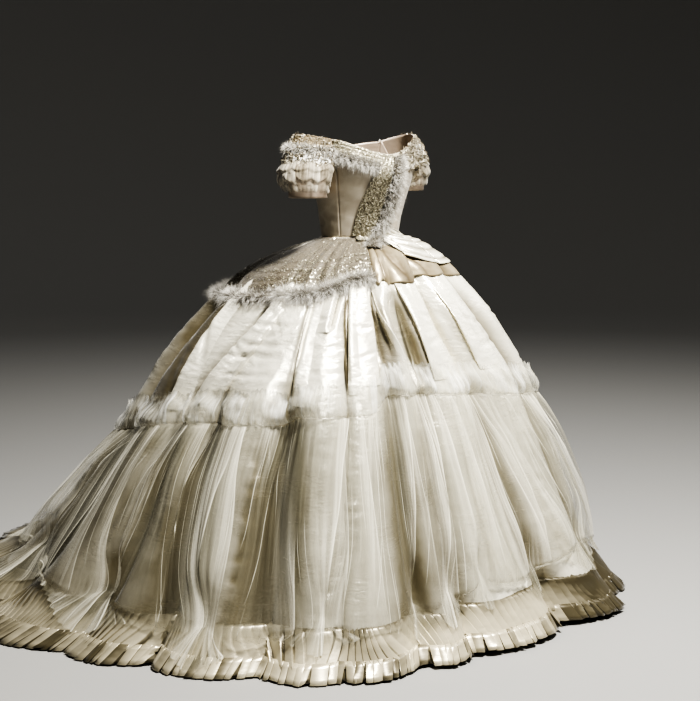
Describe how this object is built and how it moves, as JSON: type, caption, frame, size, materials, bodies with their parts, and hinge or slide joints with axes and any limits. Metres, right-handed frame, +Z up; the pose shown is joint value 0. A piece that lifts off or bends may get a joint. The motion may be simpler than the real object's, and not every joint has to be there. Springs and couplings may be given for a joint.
{
  "type": "silk ball gown with train, worn form",
  "caption": "Off-the-shoulder silk satin ball gown, hollow as worn, with a domed train skirt under tulle, puffed sleeves and fur-edged sequinned trimmings.",
  "frame": {"origin": "middle of the waist seam, where the wearer's waist holds the gown up", "axes": "+Z up along the wearer, -Y the way the gown faces, -X towards the wearer's right; the train runs to +Y"},
  "size_m": [2.0004, 2.1297, 1.3564],
  "materials": {
    "satin": "heavy ivory silk satin with a soft broad sheen",
    "flounce_satin": "pleated ivory silk, a little duller than the skirt",
    "tulle": "sheer pale grey-white silk net",
    "gauze": "gold-brown gauze worked with metal thread",
    "sequins": "gold-brown net covered with sequins and metal thread",
    "silver_lace": "dull silver metal lace",
    "fur": "long soft white fur"
  },
  "bodies": {
    "root": {"skirt_back_right": "satin", "skirt_side_back_right": "satin", "skirt_side_right": "satin", "skirt_front_right": "satin", "skirt_front": "satin", "skirt_front_left": "satin", "skirt_side_left": "satin", "skirt_side_back_left": "satin", "skirt_back": "satin", "heading_back_right": "tulle", "heading_front_right": "tulle", "heading_front_left": "tulle", "heading_back_left": "tulle", "overskirt_back_right": "tulle", "overskirt_front_right": "tulle", "overskirt_front_left": "tulle", "overskirt_back_left": "tulle", "flounce_back_right": "flounce_satin", "flounce_front_right": "flounce_satin", "flounce_front_left": "flounce_satin", "flounce_back_left": "flounce_satin", "frill_back_right": "flounce_satin", "frill_front_right": "flounce_satin", "frill_front_left": "flounce_satin", "frill_back_left": "flounce_satin", "peplum": "gauze", "peplum_fur": "fur", "hip_drape": "satin", "bodice_back_right": "satin", "bodice_side_right": "satin", "bodice_side_front_right": "satin", "bodice_front": "satin", "bodice_side_front_left": "satin", "bodice_side_left": "satin", "bodice_back_left": "satin", "sleeve_right": "satin", "sleeve_cap_right": "silver_lace", "sleeve_puff_right": "tulle", "sleeve_left": "satin", "sleeve_cap_left": "silver_lace", "sleeve_puff_left": "tulle", "scarf": "sequins", "scarf_fur": "fur", "neck_galloon": "sequins", "neck_fur": "fur", "bertha": "silver_lace"}
  },
  "joints": []
}
